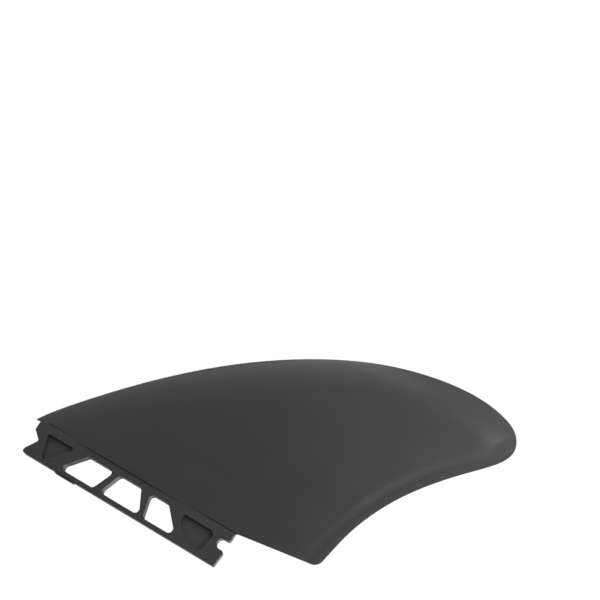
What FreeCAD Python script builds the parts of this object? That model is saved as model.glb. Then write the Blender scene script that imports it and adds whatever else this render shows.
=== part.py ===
import FreeCAD, Part
import math
import os

from FreeCAD import Placement, Rotation, Vector

# Left-hand side fin of a twin keel set, moulded in one piece.
# Frame: +X to the trailing edge, -Y to the foiled outer face, +Z up the blade.
# The origin is the middle of the flat bottom face of the tab.

PART_LABEL = "keel_fin"

# Driving dimensions, in millimetres and degrees
SIZES = (
    ("tab_length", 114.3, "length of the tab along its bottom face"),
    ("tab_thickness", 6.35, "thickness of the tab between its two side faces"),
    ("tab_height", 18.1, "from the bottom face of the tab to the base of the blade"),
    ("tab_edge_bevel", 0.35, "bevel along the outer edges of the tab"),
    ("blade_length", 223.3, "from the tip of the beak to the rearmost point of the blade"),
    ("blade_depth", 122.5, "height of the blade above its base, along the inner face"),
    ("beak_overhang", 5.8, "reach of the beak in front of the tab's lower front corner"),
    ("heel_reach", 158.3, "from the tab's lower front corner back to the heel corner"),
    ("heel_radius", 5.2, "rounding of the heel corner"),
    ("heel_lean", 14.0, "lean of the trailing edge at the heel, from upright"),
    ("cant", 6.5, "lean of the blade towards its outer face"),
    ("foil_thickness", 7.35, "greatest thickness of the foil at the base"),
    ("tip_thickness", 2.7, "greatest thickness of the foil at the tip"),
    ("edge_thickness", 0.7, "thickness left at the leading and trailing edges"),
    ("land_width", 5.6, "width of the thin land along the trailing edge"),
    ("tip_land_width", 11.0, "width of the land where it ends, at the tip"),
    ("land_rise", 1.4, "thickness of the blade where the foil runs out on the land"),
    ("overhang_clearance", 1.5, "height of the overhang above the base, next to the tab"),
    ("overhang_slope", 8.2, "rise of the overhang's underside to the rear, in degrees"),
    ("overhang_fillet", 0.95, "rounding between the rear nub and the overhang"),
    ("front_face_slope", 31.4, "slant of the tab's front face, from upright"),
    ("front_face_foot", 2.2, "height of the upright foot of the front face"),
    ("front_notch_height", 8.75, "height of the inner corner of the front notch"),
    ("front_nub_lead", 1.15, "reach of the front nub in front of the tab's foot"),
    ("front_nub_height", 12.9, "height of the lower corner of the front nub"),
    ("rear_face_slope", 6.7, "slant of the tab's rear face, from upright"),
    ("rear_nub_reach", 1.1, "reach of the rear nub behind the tab's bottom corner"),
    ("rear_notch_floor", 8.3, "height of the lower side of the rear notch"),
    ("rear_notch_width", 5.6, "height of the rear notch"),
    ("rear_notch_inset", 4.4, "from the tab's bottom rear corner in to the notch end"),
    ("window_floor", 2.3, "height of the lower side of the windows"),
    ("window_height", 12.4, "height of the windows"),
    ("window_round", 2.2, "corner radius of the windows"),
    ("window_chamfer", 0.3, "bevel round the rims of the windows"),
    ("window_one_start", 20.4, "front window, front end of its lower side"),
    ("window_one_width", 21.3, "front window, length of its lower side"),
    ("window_two_start", 45.7, "middle window, front end of its lower side"),
    ("window_two_width", 23.8, "middle window, length of its lower side"),
    ("window_three_start", 71.7, "rear window, front end of its lower side"),
    ("window_three_width", 19.0, "rear window, length of its lower side"),
    ("recess_depth", 2.2, "depth of the blind recesses in each side face"),
    ("recess_floor", 2.2, "height of the lower end of the recesses"),
    ("recess_height", 12.0, "height of the recesses"),
    ("recess_round", 1.2, "corner radius of the front recess"),
    ("recess_front_start", 6.1, "front recess, its upper front corner"),
    ("recess_front_length", 17.4, "front recess, length of its upper side"),
    ("recess_front_toe", 4.2, "front recess, set-back of its lower end"),
    ("recess_toe_width", 1.6, "front recess, width of its lower end"),
    ("recess_rear_start", 88.8, "rear recess, its front side"),
    ("recess_rear_length", 18.2, "rear recess, length of its upper side"),
    ("recess_shoulder", 8.2, "rear recess, height of its front side's foot above its floor"),
    ("recess_rear_toe", 7.6, "rear recess, set-back of its lower end"),
    ("recess_heel_rise", 2.0, "rear recess, height of its rear side's foot above its floor"),
    ("shield_round", 2.6, "corner radius of the rear recess"),
    ("gate_start", 20.5, "moulding gate pad under the tab, its front end"),
    ("gate_length", 11.0, "moulding gate pad, length"),
    ("gate_width", 3.6, "moulding gate pad, width"),
    ("gate_rise", 0.65, "moulding gate pad, height below the bottom face"),
)

# Way points of the blade's outline between the beak and the heel, each as a share of
# the blade's length behind the beak tip and of its depth above the base
LEADING_EDGE = ((0.066, 0.153), (0.293, 0.557), (0.484, 0.796), (0.660, 0.940), (0.799, 0.994))
BLADE_TIP = ((0.944, 0.976), (0.987, 0.930), (1.0, 0.870), (0.971, 0.769))
TRAILING_EDGE = ((0.935, 0.703), (0.853, 0.540), (0.797, 0.389), (0.760, 0.237))

# Where the outer curve is set out: shares of the way from the leading edge to the land,
# shares of the run-out before and after the line where the land begins, and shares of
# the land's own width
FOIL_PLACES = (0.0, 0.004, 0.014, 0.037, 0.08, 0.15, 0.23, 0.34, 0.46, 0.59, 0.71, 0.81, 0.88)
CREASE_PLACES = (-0.5, -0.17, 0.14)
LAND_PLACES = (0.45, 0.65, 0.83, 1.0)

# Chord share of the whole foil at which it is cut short by the land, at the base and at
# the tip, and how long before that it starts to fall away to it
LAND_SHARE = 0.88
TIP_LAND_SHARE = 0.82
RUN_OUT = 8.5
RUN_OUT_LIMIT = 0.15

STATION_COUNT = 18
FAN_SHARE = 0.88
TIP_STATIONS = 4

# Between which shares of the way to the tip the foil comes to be eased down to the edge,
# over what width along the leading edge and at the very tip, and how far round the tip
EASE_START = 0.3
EASE_END = 0.9
EASE_WIDTH = 22.0
TIP_EASE_WIDTH = 32.0
TIP_EASE_START = 0.82
TIP_OVERRUN = 5.0

# How far the foil blank runs past the outline that trims it
EDGE_MARGIN = 2.0
NOSE_MARGIN = 0.5


def make_sheet(doc):
    """Write the driving dimensions into a spreadsheet, one alias each."""
    sheet = doc.addObject("Spreadsheet::Sheet", "Sizes")
    for row, (alias, value, note) in enumerate(SIZES, start=1):
        sheet.set("A%d" % row, alias)
        sheet.set("B%d" % row, str(value))
        sheet.set("C%d" % row, note)
        sheet.setAlias("B%d" % row, alias)
    doc.recompute()
    return sheet


def rounded_outline(corners):
    """Closed outline of lines and arcs; each corner is (x, z, radius)."""
    count = len(corners)
    ends = []
    for index in range(count):
        here = Vector(corners[index][0], corners[index][1], 0)
        back = Vector(*corners[index - 1][:2], 0) - here
        ahead = Vector(*corners[(index + 1) % count][:2], 0) - here
        back.normalize()
        ahead.normalize()
        radius = corners[index][2]
        reach = radius / math.tan(back.getAngle(ahead) / 2) if radius else 0.0
        bisector = back + ahead
        bisector.normalize()
        middle = here
        if radius:
            middle = here + bisector * (math.hypot(reach, radius) - radius)
        ends.append((here + back * reach, middle, here + ahead * reach, radius))
    pieces = []
    for index, (start, middle, end, radius) in enumerate(ends):
        if radius:
            pieces.append(Part.Arc(start, middle, end))
        following = ends[(index + 1) % count][0]
        if (following - end).Length > 1e-6:
            pieces.append(Part.LineSegment(end, following))
    return pieces


def origin_plane(body, role):
    """One of the body's own origin planes."""
    for feature in body.Origin.OriginFeatures:
        if feature.Role == role:
            return feature
    raise RuntimeError("plane not found: " + role)


def side_sketch(body, name, outlines):
    """Sketch on the body's XZ plane; x runs to the rear and y up."""
    sketch = body.newObject("Sketcher::SketchObject", name)
    sketch.AttachmentSupport = [(origin_plane(body, "XZ_Plane"), "")]
    sketch.MapMode = "FlatFace"
    for corners in outlines:
        sketch.addGeometry(rounded_outline(corners), False)
    return sketch


def tab_corners(sheet):
    """Side view of the tab: slanted front face, hooked front nub and the rear notch."""
    top = sheet.tab_height
    back = sheet.tab_length
    slant = math.tan(math.radians(sheet.front_face_slope))
    front_notch_x = (sheet.front_notch_height - sheet.front_face_foot) * slant
    rear_lean = math.tan(math.radians(sheet.rear_face_slope))
    notch_floor = sheet.rear_notch_floor
    notch_roof = notch_floor + sheet.rear_notch_width
    notch_end = back - sheet.rear_notch_inset
    notch_round = sheet.rear_notch_width / 2 - 0.1
    nub = back + sheet.rear_nub_reach
    return (
        (0, 0, 1.0),
        (0, sheet.front_face_foot, 0.5),
        (front_notch_x, sheet.front_notch_height, 1.2),
        (-sheet.front_nub_lead, sheet.front_nub_height, 1.0),
        (-sheet.front_nub_lead, top, 0),
        (nub, top, 0),
        (nub, notch_roof, 1.3),
        (notch_end, notch_roof, notch_round),
        (notch_end, notch_floor, notch_round),
        (back + notch_floor * rear_lean, notch_floor, 1.3),
        (back, 0, 0.8),
    )


def window_corners(sheet):
    """Three windows whose ends lean towards one another, leaving slanted ribs."""
    low = sheet.window_floor
    high = low + sheet.window_height
    corner = sheet.window_round
    leans = (
        (sheet.window_one_start, sheet.window_one_width, 0.841, 0.421),
        (sheet.window_two_start, sheet.window_two_width, 0.358, -0.541),
        (sheet.window_three_start, sheet.window_three_width, -0.262, -0.946),
    )
    windows = []
    for start, width, front_lean, rear_lean in leans:
        rise = sheet.window_height
        windows.append((
            (start, low, corner),
            (start + front_lean * rise, high, corner),
            (start + width + rear_lean * rise, high, corner),
            (start + width, low, corner),
        ))
    return windows


def recess_corners(sheet):
    """The three-cornered front recess and the shield-shaped rear recess."""
    low = sheet.recess_floor
    high = low + sheet.recess_height
    corner = sheet.recess_round
    front = sheet.recess_front_start
    toe = front + sheet.recess_front_toe
    front_recess = (
        (front, high, corner),
        (front + sheet.recess_front_length, high, corner),
        (toe + sheet.recess_toe_width, low, corner / 2),
        (toe, low, corner / 2),
    )
    rounding = sheet.shield_round
    rear = sheet.recess_rear_start
    back = rear + sheet.recess_rear_length
    rear_recess = (
        (rear, high, rounding / 2),
        (back, high, rounding),
        (back - sheet.recess_heel_rise, low + sheet.recess_heel_rise, rounding),
        (back - 2 * sheet.recess_heel_rise, low, rounding / 2),
        (rear + sheet.recess_rear_toe, low + sheet.recess_heel_rise / 3, rounding),
        (rear, low + sheet.recess_shoulder, rounding),
    )
    return [front_recess, rear_recess]


def make_tab(doc, sheet):
    """The tab that slides into the board's slot."""
    body = doc.addObject("PartDesign::Body", "Tab")

    side = side_sketch(body, "TabSide", [tab_corners(sheet)])
    pad = body.newObject("PartDesign::Pad", "TabPad")
    pad.Profile = side
    pad.SideType = "Symmetric"
    pad.setExpression("Length", "Sizes.tab_thickness")
    doc.recompute()

    edges = outer_edge_names(pad.Shape, sheet)
    bevel = body.newObject("PartDesign::Chamfer", "TabEdgeBevel")
    bevel.Base = (pad, edges)
    bevel.setExpression("Size", "Sizes.tab_edge_bevel")
    doc.recompute()

    openings = side_sketch(body, "WindowOutlines", window_corners(sheet))
    windows = body.newObject("PartDesign::Pocket", "Windows")
    windows.Profile = openings
    windows.SideType = "Symmetric"
    windows.setExpression("Length", "Sizes.tab_thickness * 2")
    doc.recompute()

    rims = body.newObject("PartDesign::Chamfer", "WindowRims")
    rims.Base = (windows, window_rim_names(windows.Shape, sheet))
    rims.setExpression("Size", "Sizes.window_chamfer")
    doc.recompute()

    for name, side_sign in (("Outer", 1), ("Inner", -1)):
        sketch = side_sketch(body, name + "RecessOutlines", recess_corners(sheet))
        sketch.setExpression("AttachmentOffset.Base.z", "%d * Sizes.tab_thickness / 2" % side_sign)
        recess = body.newObject("PartDesign::Pocket", name + "Recesses")
        recess.Profile = sketch
        recess.Reversed = side_sign < 0
        recess.setExpression("Length", "Sizes.recess_depth")
        doc.recompute()
    return body


def outer_edge_names(shape, sheet):
    """Edges around both side faces of the tab, leaving out those on its top."""
    half = sheet.tab_thickness / 2
    names = []
    for number, edge in enumerate(shape.Edges, start=1):
        box = edge.BoundBox
        on_side = abs(abs(box.Center.y) - half) < 1e-3 and box.YLength < 1e-3
        on_top = box.ZMin > sheet.tab_height - 1e-3
        if on_side and not on_top:
            names.append("Edge%d" % number)
    return names


def window_rim_names(shape, sheet):
    """Edges where the windows come out on the two side faces of the tab."""
    half = sheet.tab_thickness / 2
    roof = sheet.window_floor + sheet.window_height
    last = sheet.window_three_start + sheet.window_three_width
    names = []
    for number, edge in enumerate(shape.Edges, start=1):
        box = edge.BoundBox
        on_side = abs(abs(box.Center.y) - half) < 1e-3 and box.YLength < 1e-3
        in_height = box.ZMin > sheet.window_floor - 0.1 and box.ZMax < roof + 0.1
        in_length = box.XMin > sheet.window_one_start - 0.1 and box.XMax < last + 0.1
        if on_side and in_height and in_length:
            names.append("Edge%d" % number)
    return names


def heel_corner(sheet):
    """Heel of the blade: trailing edge end, arc middle and start of the underside."""
    underside = math.radians(sheet.overhang_slope)
    lean = math.radians(sheet.heel_lean)
    run = sheet.heel_reach - (sheet.tab_length + sheet.rear_nub_reach)
    corner = Vector(sheet.heel_reach, sheet.overhang_clearance + run * math.tan(underside), 0)
    up_edge = Vector(math.sin(lean), math.cos(lean), 0)
    along_underside = Vector(-math.cos(underside), -math.sin(underside), 0)
    reach = sheet.heel_radius / math.tan(up_edge.getAngle(along_underside) / 2)
    bisector = up_edge + along_underside
    bisector.normalize()
    middle = corner + bisector * (math.hypot(reach, sheet.heel_radius) - sheet.heel_radius)
    return corner + up_edge * reach, middle, corner + along_underside * reach, up_edge


def blade_curves(sheet):
    """Leading edge with the tip, and trailing edge, as one smooth curve cut at the rear."""
    def place(share):
        across = share[0] * sheet.blade_length - sheet.beak_overhang
        return Vector(across, share[1] * sheet.blade_depth, 0)

    beak = Vector(-sheet.beak_overhang - EDGE_MARGIN * 0.6, -EDGE_MARGIN, 0)
    points = [beak]
    points += [place(share) for share in LEADING_EDGE + BLADE_TIP + TRAILING_EDGE]
    heel, _, _, up_edge = heel_corner(sheet)
    points.append(heel)
    outline = Part.BSplineCurve()
    outline.interpolate(Points=points, InitialTangent=Vector(0.6, 1, 0), FinalTangent=up_edge * -1)
    return outline


def rearmost(outline):
    """Distance along the outline, from the beak, to its rearmost point."""
    steps = 2000
    step = outline.length() / steps
    best = max(range(steps + 1), key=lambda k: along_outline(outline, k * step).x)
    return best * step


def along_outline(outline, distance):
    """Point of the outline at a distance from the beak, carried on straight past the heel."""
    overrun = distance - outline.length()
    if overrun > 0:
        tangent = outline.tangent(outline.LastParameter)[0]
        return outline.EndPoint + tangent * overrun
    return outline.value(outline.parameterAtDistance(max(distance, 0.0), outline.FirstParameter))


def make_outline_prism(doc, sheet, outline):
    """The blade's outline, drawn on the canted inner face and carried outwards."""
    sketch = doc.addObject("Sketcher::SketchObject", "BladeOutline")
    heel, middle, underside, _ = heel_corner(sheet)
    nub = sheet.tab_length + sheet.rear_nub_reach
    slope = math.tan(math.radians(sheet.overhang_slope))
    fillet = sheet.overhang_fillet
    lift = sheet.overhang_clearance
    fillet_end = Vector(nub + fillet, lift + fillet * slope, 0)
    fillet_middle = Vector(nub + 0.3 * fillet, lift - 0.35 * fillet, 0)
    fillet_start = Vector(nub, lift - fillet, 0)
    below = Vector(nub, -EDGE_MARGIN, 0)
    beak = outline.StartPoint
    sketch.addGeometry([
        outline,
        Part.Arc(heel, middle, underside),
        Part.LineSegment(underside, fillet_end),
        Part.Arc(fillet_end, fillet_middle, fillet_start),
        Part.LineSegment(fillet_start, below),
        Part.LineSegment(below, beak),
    ], False)
    sketch.Placement = blade_placement(sheet)
    prism = doc.addObject("Part::Extrusion", "OutlinePrism")
    prism.Base = sketch
    prism.DirMode = "Normal"
    prism.Solid = True
    prism.setExpression("LengthFwd", "Sizes.foil_thickness * 2")
    doc.recompute()
    return prism


def blade_placement(sheet):
    """Where the canted inner face stands: x to the rear, y up the blade, z outwards."""
    base = Vector(0, sheet.tab_thickness / 2, sheet.tab_height)
    return Placement(base, Rotation(Vector(1, 0, 0), 90 + sheet.cant))


def foil_height(share):
    """Four-digit foil thickness at a share of the chord, 1 where it is thickest."""
    root = 0.2969 * math.sqrt(share)
    body = -0.1260 * share - 0.3516 * share ** 2 + 0.2843 * share ** 3 - 0.1015 * share ** 4
    return (root + body) / 0.10003


def tip_easing(front_edge, spot, share):
    """Share of the foil's height kept at a spot: falls away to the edge round the tip."""
    blend = smooth_share(share, EASE_START, EASE_END)
    if blend <= 0:
        return 1.0
    tip = smooth_share(share, TIP_EASE_START, 1.0)
    power = 2 - tip / 2
    place = front_edge.parameter(spot)
    inward = spot - front_edge.value(place)
    depth = inward.Length / (EASE_WIDTH + (TIP_EASE_WIDTH - EASE_WIDTH) * tip)
    if front_edge.tangent(place)[0].cross(inward).z > 0:
        depth = -depth
    eased = power * depth if depth < 0 else 1 - (1 - min(depth, 1.0)) ** power
    return 1 - blend + blend * eased


def smooth_share(value, start, end):
    """Runs smoothly from 0 at start to 1 at end."""
    share = min(max((value - start) / (end - start), 0.0), 1.0)
    return share * share * (3 - 2 * share)


def land_width_at(sheet, share, chord):
    """Width of the trailing edge's land in a section: wider where it ends, at the tip."""
    hook = smooth_share(share, FAN_SHARE - 0.04, 1.0)
    width = sheet.land_width + (sheet.tip_land_width - sheet.land_width) * hook
    return min(width, chord * 0.6)


def run_out_length(domed_length):
    """How long before the land the foil starts to fall away to it."""
    return min(RUN_OUT, domed_length * RUN_OUT_LIMIT)


def section_height(sheet, share, reach, domed_length, land_width):
    """Height of a section's outer curve at a distance behind the leading edge."""
    edge = sheet.edge_thickness
    if reach > domed_length:
        across = (reach - domed_length) / land_width
        return edge + (sheet.land_rise - edge) * (1 - across ** 2)
    thickness = sheet.foil_thickness + (sheet.tip_thickness - sheet.foil_thickness) * share
    land_share = LAND_SHARE + (TIP_LAND_SHARE - LAND_SHARE) * share
    nose = (edge / (2.968 * thickness)) ** 2
    place = reach / domed_length
    surplus = thickness * foil_height(land_share) - sheet.land_rise
    fall = max(1 - (domed_length - reach) / run_out_length(domed_length), 0.0) ** 2
    return thickness * foil_height(place * land_share + nose * (1 - place)) - surplus * fall


def station_points(sheet, front_edge, front, rear, share):
    """Points of one section's outer curve: domed over the foil, nearly flat over the land."""
    edge = sheet.edge_thickness
    blend = smooth_share(share, EASE_START, EASE_END)
    along = rear - front
    chord = along.Length
    along.normalize()
    out = Vector(0, 0, 1)
    land_width = land_width_at(sheet, share, chord)
    domed_length = chord - land_width
    reaches = [domed_length * place for place in FOIL_PLACES]
    reaches += [domed_length + run_out_length(domed_length) * place for place in CREASE_PLACES]
    reaches += [domed_length + land_width * place for place in LAND_PLACES]
    reaches.append(chord + EDGE_MARGIN)
    lead = front - along * NOSE_MARGIN + out * (edge - NOSE_MARGIN * (2.4 - 1.8 * blend))
    points = [lead]
    for reach in reaches:
        spot = front + along * reach
        rise = section_height(sheet, share, reach, domed_length, land_width) - edge
        points.append(spot + out * (edge + rise * tip_easing(front_edge, spot, share)))
    return points


def shared_spacing(rows):
    """Spacing of the points along the outer curves, one mean for all the sections."""
    spacing = [0.0] * len(rows[0])
    for points in rows:
        steps = [math.sqrt((after - before).Length) for before, after in zip(points, points[1:])]
        for index in range(1, len(points)):
            spacing[index] += sum(steps[:index]) / sum(steps) / len(rows)
    return spacing


def section_wire(points, spacing):
    """One section of the foil across the blade: flat inside, closed over its outer curve."""
    lead = points[0]
    rear_end = points[-1]
    outer = Part.BSplineCurve()
    outer.interpolate(Points=points, Parameters=spacing)
    under_rear = Vector(rear_end.x, rear_end.y, -EDGE_MARGIN)
    under_front = Vector(lead.x, lead.y, -EDGE_MARGIN)
    return Part.Wire([
        outer.toShape(),
        Part.LineSegment(rear_end, under_rear).toShape(),
        Part.LineSegment(under_rear, under_front).toShape(),
        Part.LineSegment(under_front, lead).toShape(),
    ])


def station_lines(sheet, outline):
    """Front and rear point of each section, with its share of the way to the tip."""
    turn = rearmost(outline)
    foot = heel_corner(sheet)[0].y + EDGE_MARGIN
    total = outline.length() + foot / math.cos(math.radians(sheet.heel_lean))
    lines = []
    for index in range(STATION_COUNT):
        share = FAN_SHARE * index / (STATION_COUNT - 1)
        front = along_outline(outline, turn * share)
        rear = along_outline(outline, total - (total - turn) * share)
        lines.append((front, rear, share))
    front, rear, _ = lines[-1]
    ahead = outline.tangent(outline.parameter(front))[0]
    behind = outline.tangent(outline.parameter(rear))[0] * -1
    past_tip = Vector(front.y - rear.y, rear.x - front.x, 0)
    past_tip.normalize()
    reach = (along_outline(outline, turn) - front).dot(past_tip) + EDGE_MARGIN
    for index in range(1, TIP_STATIONS + 1):
        step = reach * index / TIP_STATIONS
        tip_front = front + ahead * (step / ahead.dot(past_tip))
        tip_rear = rear + behind * (step / behind.dot(past_tip))
        share = FAN_SHARE + (1 - FAN_SHARE) * index / TIP_STATIONS
        lines.append((tip_front, tip_rear, share))
    return lines


def make_foil(doc, sheet, outline):
    """Foil blank lofted through sections that fan round from the base to the tip."""
    front_edge = outline.copy()
    past_turn = outline.parameterAtDistance(rearmost(outline) + TIP_OVERRUN, outline.FirstParameter)
    front_edge.trim(outline.FirstParameter, past_turn)
    rows = []
    for front, rear, share in station_lines(sheet, outline):
        rows.append(station_points(sheet, front_edge, front, rear, share))
    spacing = shared_spacing(rows)
    sections = []
    for points in rows:
        section = doc.addObject("Part::Feature", "FoilSection")
        section.Shape = section_wire(points, spacing)
        section.Placement = blade_placement(sheet)
        sections.append(section)
    foil = doc.addObject("Part::Loft", "FoilBlank")
    foil.Sections = sections
    foil.Solid = True
    doc.recompute()
    return foil


def make_fin(doc, sheet, tab, prism, foil):
    """Trim the foil to its outline, level its base and join it to the tab."""
    blade = doc.addObject("Part::MultiCommon", "Blade")
    blade.Shapes = [prism, foil]
    doc.recompute()

    below = doc.addObject("Part::Box", "BelowBase")
    below.setExpression("Length", "Sizes.blade_length * 2")
    below.setExpression("Width", "Sizes.foil_thickness * 8")
    below.setExpression("Height", "Sizes.tab_height")
    below.Placement = Placement(Vector(-sheet.tab_length, -4 * sheet.foil_thickness, 0), Rotation())
    levelled = doc.addObject("Part::Cut", "LevelledBlade")
    levelled.Base = blade
    levelled.Tool = below
    doc.recompute()

    gate = doc.addObject("Part::Box", "GatePad")
    gate.setExpression("Length", "Sizes.gate_length")
    gate.setExpression("Width", "Sizes.gate_width")
    gate.setExpression("Height", "Sizes.gate_rise * 2")
    gate.Placement = Placement(Vector(sheet.gate_start, -sheet.gate_width / 2, -sheet.gate_rise), Rotation())

    fin = doc.addObject("Part::MultiFuse", "Fin")
    fin.Shapes = [tab, levelled, gate]
    fin.Refine = True
    fin.Label = PART_LABEL
    fin.Placement = Placement(Vector(-sheet.tab_length / 2, 0, 0), Rotation())
    doc.recompute()
    return fin


def check_document(doc):
    """Stop if any object failed or any shape is unsound."""
    for item in doc.Objects:
        if "Invalid" in item.State or "Error" in item.State:
            raise RuntimeError("failed: " + item.Label)
        shape = getattr(item, "Shape", None)
        if shape is not None and not item.isDerivedFrom("App::OriginFeature"):
            if shape.isNull() or not shape.isValid():
                raise RuntimeError("unsound shape: " + item.Label)


def main():
    doc = FreeCAD.newDocument("KeelFin")
    sheet = make_sheet(doc)
    outline = blade_curves(sheet)
    tab = make_tab(doc, sheet)
    prism = make_outline_prism(doc, sheet, outline)
    foil = make_foil(doc, sheet, outline)
    fin = make_fin(doc, sheet, tab, prism, foil)
    check_document(doc)
    if len(fin.Shape.Solids) != 1:
        raise RuntimeError("the fin is not one solid")
    os.makedirs("parts", exist_ok=True)
    fin.Shape.exportStep(os.path.join("parts", PART_LABEL + ".step"))
    print(fin.Shape.BoundBox, "volume", fin.Shape.Volume)


main()
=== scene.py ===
import math

import bmesh
import bpy
from bpy.props import FloatProperty, FloatVectorProperty, PointerProperty
from mathutils import Euler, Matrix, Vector

bl_info = {
    "name": "Keel Fin",
    "version": (1, 0, 0),
    "blender": (4, 5, 0),
    "location": "View3D > Sidebar > Keel Fin",
    "description": "Finishes the moulded side fin and sets its studio",
    "category": "Object",
}

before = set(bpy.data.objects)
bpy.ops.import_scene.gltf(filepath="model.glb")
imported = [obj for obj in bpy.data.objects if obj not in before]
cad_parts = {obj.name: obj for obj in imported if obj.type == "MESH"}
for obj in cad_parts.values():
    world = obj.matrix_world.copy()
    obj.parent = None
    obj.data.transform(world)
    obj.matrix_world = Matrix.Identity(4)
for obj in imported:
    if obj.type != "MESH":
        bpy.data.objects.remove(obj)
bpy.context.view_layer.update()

FIN_NODE = "keel_fin"

# Where the painted shade in the creases starts and is full, towards the beak and towards the heel, in
# metres along X
FRONT_CREASE = (-0.037, -0.046)
REAR_CREASE = (0.029, 0.042)

# Middle and radius in metres of the arc that the trailing edge follows, seen from the side
EDGE_ARC_MIDDLE = (0.2406, 0.0, -0.0025)
EDGE_ARC_RADIUS = 0.1425

# Distances in from that arc over which the land dips and the foil swells, and the dip's share
LAND_DIP = (0.0012, 0.0052)
FOIL_SWELL = (0.0040, 0.0095)
LAND_DIP_SHARE = 0.35

# Heights between which the swell grows above the heel and dies out below the tip
SWELL_GROWTH = (0.035, 0.075)
SWELL_END = (0.134, 0.122)

# Y part of a face's direction where the swell starts and is full; the inner face has none
SWELL_FACING = (0.0, -0.2)

# Where the outer side starts and is full for the painted shade in the creases, in metres along Y
OUTER_SIDE = (-0.0009, -0.001)

# Length in metres over which the parting line ends below the blade
LINE_FADE = 0.0001

# Scale and detail of the two noise patterns, and the part of the first that shows fibres
BLOOM_NOISE = (38.0, 5.0)
BLOOM_RANGE = (0.35, 0.75)
GRAIN_NOISE = (2600.0, 3.0)

# Height in metres and strength of the grain's bump, and depth and strength of the lines' groove
GRAIN_RELIEF = (0.0001, 0.12)
LINE_RELIEF = (0.0002, 0.6)

# How strongly the plastic mirrors
PLASTIC_SPECULAR = 0.25

# Half the side of the floor in metres, its tone and its roughness
FLOOR_REACH = 3.0
FLOOR_TONE = (0.9, 0.9, 0.9, 1.0)
FLOOR_ROUGHNESS = 0.9

# Where the lamps hang: six on the outer side of the fin and two behind it
LAMP_PLACES = {
    "side": (0.534, -0.341, 0.174),
    "top": (-0.1, -0.304, 0.567),
    "far": (-0.322, -0.389, 0.34),
    "fill": (0.253, -0.519, 0.3),
    "beak": (-0.406, -0.236, -0.242),
    "crest": (-0.46, -0.154, 0.347),
    "back_low": (0.48, 0.42, -0.12),
    "back_high": (-0.34, 0.4, 0.4),
}

# The point that every lamp is turned to
LAMP_AIM = (0.05, 0.0, 0.07)


class FinFinish(bpy.types.PropertyGroup):
    """Colour and surface of the moulded plastic."""

    plastic_colour: FloatVectorProperty(
        name="Plastic colour",
        description="Colour of the filled nylon",
        subtype="COLOR",
        size=4,
        min=0.0,
        max=1.0,
        default=(0.010, 0.010, 0.0105, 1.0),
    )
    fibre_colour: FloatVectorProperty(
        name="Fibre bloom",
        description="Paler tint where short fibres lie at the skin",
        subtype="COLOR",
        size=4,
        min=0.0,
        max=1.0,
        default=(0.0118, 0.0118, 0.0123, 1.0),
    )
    # Dark colour of the parting line, and painted shade along the creases at the blade's base
    seam_and_shade_colour: FloatVectorProperty(
        name="Line colour",
        description="Colour of the parting line and of the creases",
        subtype="COLOR",
        size=4,
        min=0.0,
        max=1.0,
        default=(0.002, 0.002, 0.002, 1.0),
    )
    gloss_roughness: FloatProperty(
        name="Roughness",
        description="Roughness of the moulded skin",
        default=0.46,
        min=0.0,
        max=1.0,
    )
    roughness_spread: FloatProperty(
        name="Roughness spread",
        description="How far the roughness strays to either side",
        default=0.025,
        min=0.0,
        max=1.0,
    )
    swell_height: FloatProperty(
        name="Swell height",
        description="Height of the swell beside the upper trailing edge",
        default=0.0006,
        unit="LENGTH",
    )
    seam_width: FloatProperty(
        name="Parting line",
        description="Width of the mould's parting line round the tab",
        default=0.0005,
        unit="LENGTH",
    )
    crease_height: FloatProperty(
        name="Crease height",
        description="Height of the crease where the blade's outer face meets the tab",
        default=0.0186,
        unit="LENGTH",
    )
    # The band along the crease is painted shade
    crease_width: FloatProperty(
        name="Crease width",
        description="Width of the shaded band along that crease",
        default=0.0012,
        unit="LENGTH",
    )


class StudioLayout(bpy.types.PropertyGroup):
    """Camera, floor and lamps."""

    lens: FloatProperty(
        name="Lens",
        description="Focal length on a 36 mm wide frame",
        default=57.34,
        subtype="DISTANCE_CAMERA",
    )
    camera_place: FloatVectorProperty(
        name="Camera place",
        description="Where the camera stands",
        subtype="TRANSLATION",
        unit="LENGTH",
        default=(0.12158, -0.4802, -0.04967),
    )
    camera_turn: FloatVectorProperty(
        name="Camera turn",
        description="How the camera is turned",
        subtype="EULER",
        default=(math.radians(115.2476), math.radians(-29.6961), math.radians(-1.4942)),
    )
    floor_drop: FloatProperty(
        name="Floor drop",
        description="How far the floor lies below the tab",
        default=0.5,
        unit="LENGTH",
    )
    floor_glow: FloatProperty(
        name="Floor paleness",
        description="Share of the floor's tone that doesn't depend on the lamps",
        default=0.75,
        min=0.0,
        max=1.0,
    )
    ambient: FloatProperty(
        name="Ambient light",
        description="Strength of the even light from all round",
        default=0.02,
        min=0.0,
    )
    lamp_size: FloatProperty(
        name="Lamp size",
        description="Side of each square lamp",
        default=0.3,
        unit="LENGTH",
    )
    side_power: FloatProperty(
        name="Side lamp",
        description="Power of the lamp beyond the tip, on the camera's side",
        default=6.9,
        unit="POWER",
    )
    top_power: FloatProperty(
        name="Top lamp",
        description="Power of the lamp above the leading edge",
        default=2.59,
        unit="POWER",
    )
    far_power: FloatProperty(
        name="Far lamp",
        description="Power of the lamp above the beak",
        default=0.72,
        unit="POWER",
    )
    fill_power: FloatProperty(
        name="Fill lamp",
        description="Power of the lamp beside the camera",
        default=0.83,
        unit="POWER",
    )
    beak_power: FloatProperty(
        name="Beak lamp",
        description="Power of the lamp on the beak's side",
        default=0.4,
        unit="POWER",
    )
    crest_power: FloatProperty(
        name="Crest lamp",
        description="Power of the lamp in line with the leading edge",
        default=0.42,
        unit="POWER",
    )
    back_low_power: FloatProperty(
        name="Low back lamp",
        description="Power of the lamp behind and below the heel",
        default=4.0,
        unit="POWER",
    )
    back_high_power: FloatProperty(
        name="High back lamp",
        description="Power of the lamp behind and above the beak",
        default=2.5,
        unit="POWER",
    )


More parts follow.
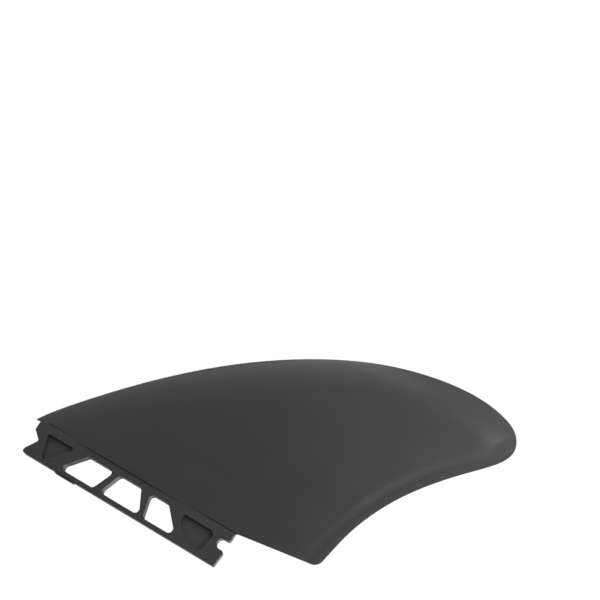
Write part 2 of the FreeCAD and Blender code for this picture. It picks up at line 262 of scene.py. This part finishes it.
def line_along(tree, value, middle, width):
    """Mask of a soft-edged line where a coordinate passes a value."""
    offset = tree.nodes.new("ShaderNodeMath")
    offset.operation = "SUBTRACT"
    offset.inputs[1].default_value = middle
    tree.links.new(value, offset.inputs[0])
    distance = tree.nodes.new("ShaderNodeMath")
    distance.operation = "ABSOLUTE"
    tree.links.new(offset.outputs["Value"], distance.inputs[0])
    line = tree.nodes.new("ShaderNodeMapRange")
    line.inputs["From Min"].default_value = width / 4
    line.inputs["From Max"].default_value = width / 2
    line.inputs["To Min"].default_value = 1.0
    line.inputs["To Max"].default_value = 0.0
    tree.links.new(distance.outputs["Value"], line.inputs["Value"])
    return line.outputs["Result"]


def rising(tree, value, start, end):
    """Mask that grows from nothing to full between two places."""
    ramp = tree.nodes.new("ShaderNodeMapRange")
    ramp.inputs["From Min"].default_value = start
    ramp.inputs["From Max"].default_value = end
    tree.links.new(value, ramp.inputs["Value"])
    return ramp.outputs["Result"]


def joined(tree, operation, one, other):
    """Two masks put together by the named operation."""
    both = tree.nodes.new("ShaderNodeMath")
    both.operation = operation
    tree.links.new(one, both.inputs[0])
    tree.links.new(other, both.inputs[1])
    return both.outputs["Value"]


def eased(tree, value, start, end, full=1.0):
    """Height that eases from nothing to full between two places."""
    ramp = tree.nodes.new("ShaderNodeMapRange")
    ramp.interpolation_type = "SMOOTHSTEP"
    ramp.inputs["From Min"].default_value = start
    ramp.inputs["From Max"].default_value = end
    ramp.inputs["To Max"].default_value = full
    tree.links.new(value, ramp.inputs["Value"])
    return ramp.outputs["Result"]


def land_swell(tree, place):
    """Height of the soft swell where the foil runs out beside the upper trailing edge."""
    flat = tree.nodes.new("ShaderNodeVectorMath")
    flat.operation = "MULTIPLY"
    flat.inputs[1].default_value = (1.0, 0.0, 1.0)
    tree.links.new(place, flat.inputs[0])
    reach = tree.nodes.new("ShaderNodeVectorMath")
    reach.operation = "DISTANCE"
    reach.inputs[1].default_value = EDGE_ARC_MIDDLE
    tree.links.new(flat.outputs["Vector"], reach.inputs[0])
    apart = tree.nodes.new("ShaderNodeSeparateXYZ")
    tree.links.new(place, apart.inputs["Vector"])
    dip_start, dip_end = (EDGE_ARC_RADIUS + inset for inset in LAND_DIP)
    swell_start, swell_end = (EDGE_ARC_RADIUS + inset for inset in FOIL_SWELL)
    dip = eased(tree, reach.outputs["Value"], dip_start, dip_end, LAND_DIP_SHARE)
    swell = eased(tree, reach.outputs["Value"], swell_start, swell_end)
    height = joined(tree, "SUBTRACT", swell, dip)
    height = joined(tree, "MULTIPLY", height, eased(tree, apart.outputs["Z"], *SWELL_GROWTH))
    height = joined(tree, "MULTIPLY", height, eased(tree, apart.outputs["Z"], *SWELL_END))

    # The inner face stays flat
    surface = tree.nodes.new("ShaderNodeNewGeometry")
    facing = tree.nodes.new("ShaderNodeSeparateXYZ")
    tree.links.new(surface.outputs["True Normal"], facing.inputs["Vector"])
    return joined(tree, "MULTIPLY", height, rising(tree, facing.outputs["Y"], *SWELL_FACING))


def seam_and_crease_shade(tree, place, finish):
    """Mask of the parting line round the tab's rim and of the painted shade in the creases at the
    blade's base.
    """
    apart = tree.nodes.new("ShaderNodeSeparateXYZ")
    tree.links.new(place, apart.inputs["Vector"])
    along, across, height = (apart.outputs[name] for name in "XYZ")

    # The parting line lies in the tab's middle plane and stops under the blade
    tab_top = finish.crease_height - finish.crease_width / 2
    on_tab = rising(tree, height, tab_top, tab_top - LINE_FADE)
    parting = line_along(tree, across, 0.0, finish.seam_width)
    parting = joined(tree, "MULTIPLY", parting, on_tab)

    # The painted shade lies in the creases on the outer side alone, before and behind the overhang
    outside = rising(tree, across, *OUTER_SIDE)
    ends = joined(tree, "MAXIMUM", rising(tree, along, *FRONT_CREASE), rising(tree, along, *REAR_CREASE))
    crease = line_along(tree, height, finish.crease_height, finish.crease_width)
    crease = joined(tree, "MULTIPLY", crease, outside)
    crease = joined(tree, "MULTIPLY", crease, ends)
    return joined(tree, "MAXIMUM", parting, crease)


def noise(tree, place, scale, detail):
    """Cloudy pattern fixed to the piece."""
    pattern = tree.nodes.new("ShaderNodeTexNoise")
    pattern.inputs["Scale"].default_value = scale
    pattern.inputs["Detail"].default_value = detail
    tree.links.new(place, pattern.inputs["Vector"])
    return pattern.outputs["Fac"]


def tinted(tree, share, other):
    """Mix of two colours, the first still open, that reaches the other where the share is full."""
    mix = tree.nodes.new("ShaderNodeMix")
    mix.data_type = "RGBA"
    mix.inputs["B"].default_value = other
    tree.links.new(share, mix.inputs["Factor"])
    return mix


def raised(tree, height, depth, strength=1.0):
    """Bump that stands out where the height is full."""
    bump = tree.nodes.new("ShaderNodeBump")
    bump.inputs["Strength"].default_value = strength
    bump.inputs["Distance"].default_value = depth
    tree.links.new(height, bump.inputs["Height"])
    return bump


def plastic_material():
    """Satin moulded nylon: fine grain, faint fibre bloom, uneven sheen, the mould's parting line and
    painted shade in the creases.
    """
    finish = bpy.context.scene.fin_finish
    material = bpy.data.materials.new("moulded_nylon")
    material.use_nodes = True
    tree = material.node_tree
    links = tree.links
    shader = tree.nodes["Principled BSDF"]
    shader.inputs["Specular IOR Level"].default_value = PLASTIC_SPECULAR
    place = tree.nodes.new("ShaderNodeTexCoord").outputs["Object"]
    lines = seam_and_crease_shade(tree, place, finish)

    bloom = noise(tree, place, *BLOOM_NOISE)
    body = tinted(tree, rising(tree, bloom, *BLOOM_RANGE), finish.fibre_colour)
    body.inputs["A"].default_value = finish.plastic_colour
    # Darker along the parting line, and painted shade in the creases
    skin = tinted(tree, lines, finish.seam_and_shade_colour)
    links.new(body.outputs["Result"], skin.inputs["A"])
    links.new(skin.outputs["Result"], shader.inputs["Base Color"])

    sheen = tree.nodes.new("ShaderNodeMapRange")
    sheen.inputs["To Min"].default_value = finish.gloss_roughness - finish.roughness_spread
    sheen.inputs["To Max"].default_value = finish.gloss_roughness + finish.roughness_spread
    links.new(bloom, sheen.inputs["Value"])
    links.new(sheen.outputs["Result"], shader.inputs["Roughness"])

    grain = raised(tree, noise(tree, place, *GRAIN_NOISE), *GRAIN_RELIEF)
    groove = raised(tree, lines, *LINE_RELIEF)
    groove.invert = True
    swell = raised(tree, land_swell(tree, place), finish.swell_height)
    links.new(grain.outputs["Normal"], groove.inputs["Normal"])
    links.new(groove.outputs["Normal"], swell.inputs["Normal"])
    links.new(swell.outputs["Normal"], shader.inputs["Normal"])
    return material


class FIN_OT_moulding(bpy.types.Operator):
    """Give the fin its moulded plastic finish"""

    bl_idname = "fin.moulding"
    bl_label = "Moulded fin"

    def execute(self, context):
        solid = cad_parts[FIN_NODE]
        solid.data.materials.clear()
        solid.data.materials.append(plastic_material())
        return {"FINISHED"}


def add_lamp(name, place, size, power):
    """A large soft lamp turned towards the fin."""
    lamp = bpy.data.lights.new(name, "AREA")
    lamp.shape = "SQUARE"
    lamp.size = size
    lamp.energy = power
    holder = bpy.data.objects.new(name, lamp)
    holder.location = place
    holder.rotation_euler = (Vector(LAMP_AIM) - Vector(place)).to_track_quat("-Z", "Y").to_euler()
    bpy.context.scene.collection.objects.link(holder)


def seen_directly(tree, otherwise, level):
    """One value where a thing is seen, mirrored or seen through, and another for the light it gives."""
    rays = tree.nodes.new("ShaderNodeLightPath")
    seen = joined(tree, "MAXIMUM", rays.outputs["Is Camera Ray"], rays.outputs["Is Glossy Ray"])
    seen = joined(tree, "MAXIMUM", seen, rays.outputs["Is Transmission Ray"])
    spread = tree.nodes.new("ShaderNodeMapRange")
    spread.inputs["To Min"].default_value = otherwise
    spread.inputs["To Max"].default_value = level
    tree.links.new(seen, spread.inputs["Value"])
    return spread.outputs["Result"]


def floor_material(layout):
    """Pale matt floor, which stays pale away from the lamps and still takes shadows."""
    paint = bpy.data.materials.new("studio_white")
    paint.use_nodes = True
    tree = paint.node_tree
    matt = tree.nodes["Principled BSDF"]
    matt.inputs["Base Color"].default_value = FLOOR_TONE
    matt.inputs["Roughness"].default_value = FLOOR_ROUGHNESS
    glow = tree.nodes.new("ShaderNodeEmission")
    glow.inputs["Color"].default_value = FLOOR_TONE
    blend = tree.nodes.new("ShaderNodeMixShader")
    tree.links.new(seen_directly(tree, 0.0, layout.floor_glow), blend.inputs["Fac"])
    tree.links.new(matt.outputs["BSDF"], blend.inputs[1])
    tree.links.new(glow.outputs["Emission"], blend.inputs[2])
    tree.links.new(blend.outputs["Shader"], tree.nodes["Material Output"].inputs["Surface"])
    return paint


def add_floor(layout):
    """The flat floor under the fin, which isn't part of it."""
    mesh = bpy.data.meshes.new("studio_floor")
    sheet = bmesh.new()
    bmesh.ops.create_grid(sheet, x_segments=1, y_segments=1, size=FLOOR_REACH)
    bmesh.ops.translate(sheet, verts=sheet.verts, vec=(0, 0, -layout.floor_drop))
    sheet.to_mesh(mesh)
    sheet.free()
    mesh.materials.append(floor_material(layout))
    floor = bpy.data.objects.new("studio_floor", mesh)
    bpy.context.scene.collection.objects.link(floor)


def add_surround(layout):
    """White all round for the eye and for gloss, with little light of its own."""
    world = bpy.data.worlds.new("studio_surround")
    world.use_nodes = True
    back = world.node_tree.nodes["Background"]
    back.inputs["Color"].default_value = (1, 1, 1, 1)
    level = seen_directly(world.node_tree, layout.ambient, 1.0)
    world.node_tree.links.new(level, back.inputs["Strength"])
    bpy.context.scene.world = world


def add_lamps(layout):
    """Every lamp in its place, with the power that the layout gives it."""
    for name, place in LAMP_PLACES.items():
        add_lamp(name + "_lamp", place, layout.lamp_size, getattr(layout, name + "_power"))


def add_camera(layout):
    """The camera, which looks up at the fin's outer face from below."""
    camera = bpy.data.cameras.new("camera")
    camera.lens = layout.lens
    camera.sensor_width = 36.0
    camera.clip_start = 0.01
    holder = bpy.data.objects.new("camera", camera)
    holder.location = layout.camera_place
    holder.rotation_euler = Euler(layout.camera_turn)
    bpy.context.scene.collection.objects.link(holder)
    bpy.context.scene.camera = holder


class FIN_OT_studio(bpy.types.Operator):
    """Set the floor, the white surround, the lamps and the camera"""

    bl_idname = "fin.studio"
    bl_label = "Studio"

    def execute(self, context):
        layout = context.scene.fin_studio
        add_floor(layout)
        add_surround(layout)
        add_lamps(layout)
        add_camera(layout)
        context.scene.view_settings.view_transform = "Standard"
        return {"FINISHED"}


class FIN_PT_panel(bpy.types.Panel):
    """Sizes, finishes and steps of the fin"""

    bl_idname = "FIN_PT_panel"
    bl_label = "Keel Fin"
    bl_space_type = "VIEW_3D"
    bl_region_type = "UI"
    bl_category = "Keel Fin"

    def draw(self, context):
        layout = self.layout
        for group in (context.scene.fin_finish, context.scene.fin_studio):
            for name in group.bl_rna.properties.keys():
                if name not in {"rna_type", "name"}:
                    layout.prop(group, name)
        layout.operator("fin.moulding")
        layout.operator("fin.studio")


CLASSES = (FinFinish, StudioLayout, FIN_OT_moulding, FIN_OT_studio, FIN_PT_panel)


def register():
    for item in CLASSES:
        bpy.utils.register_class(item)
    bpy.types.Scene.fin_finish = PointerProperty(type=FinFinish)
    bpy.types.Scene.fin_studio = PointerProperty(type=StudioLayout)


def unregister():
    del bpy.types.Scene.fin_studio
    del bpy.types.Scene.fin_finish
    for item in reversed(CLASSES):
        bpy.utils.unregister_class(item)


def main():
    register()
    bpy.ops.fin.moulding()
    bpy.ops.fin.studio()


if __name__ == "__main__":
    main()
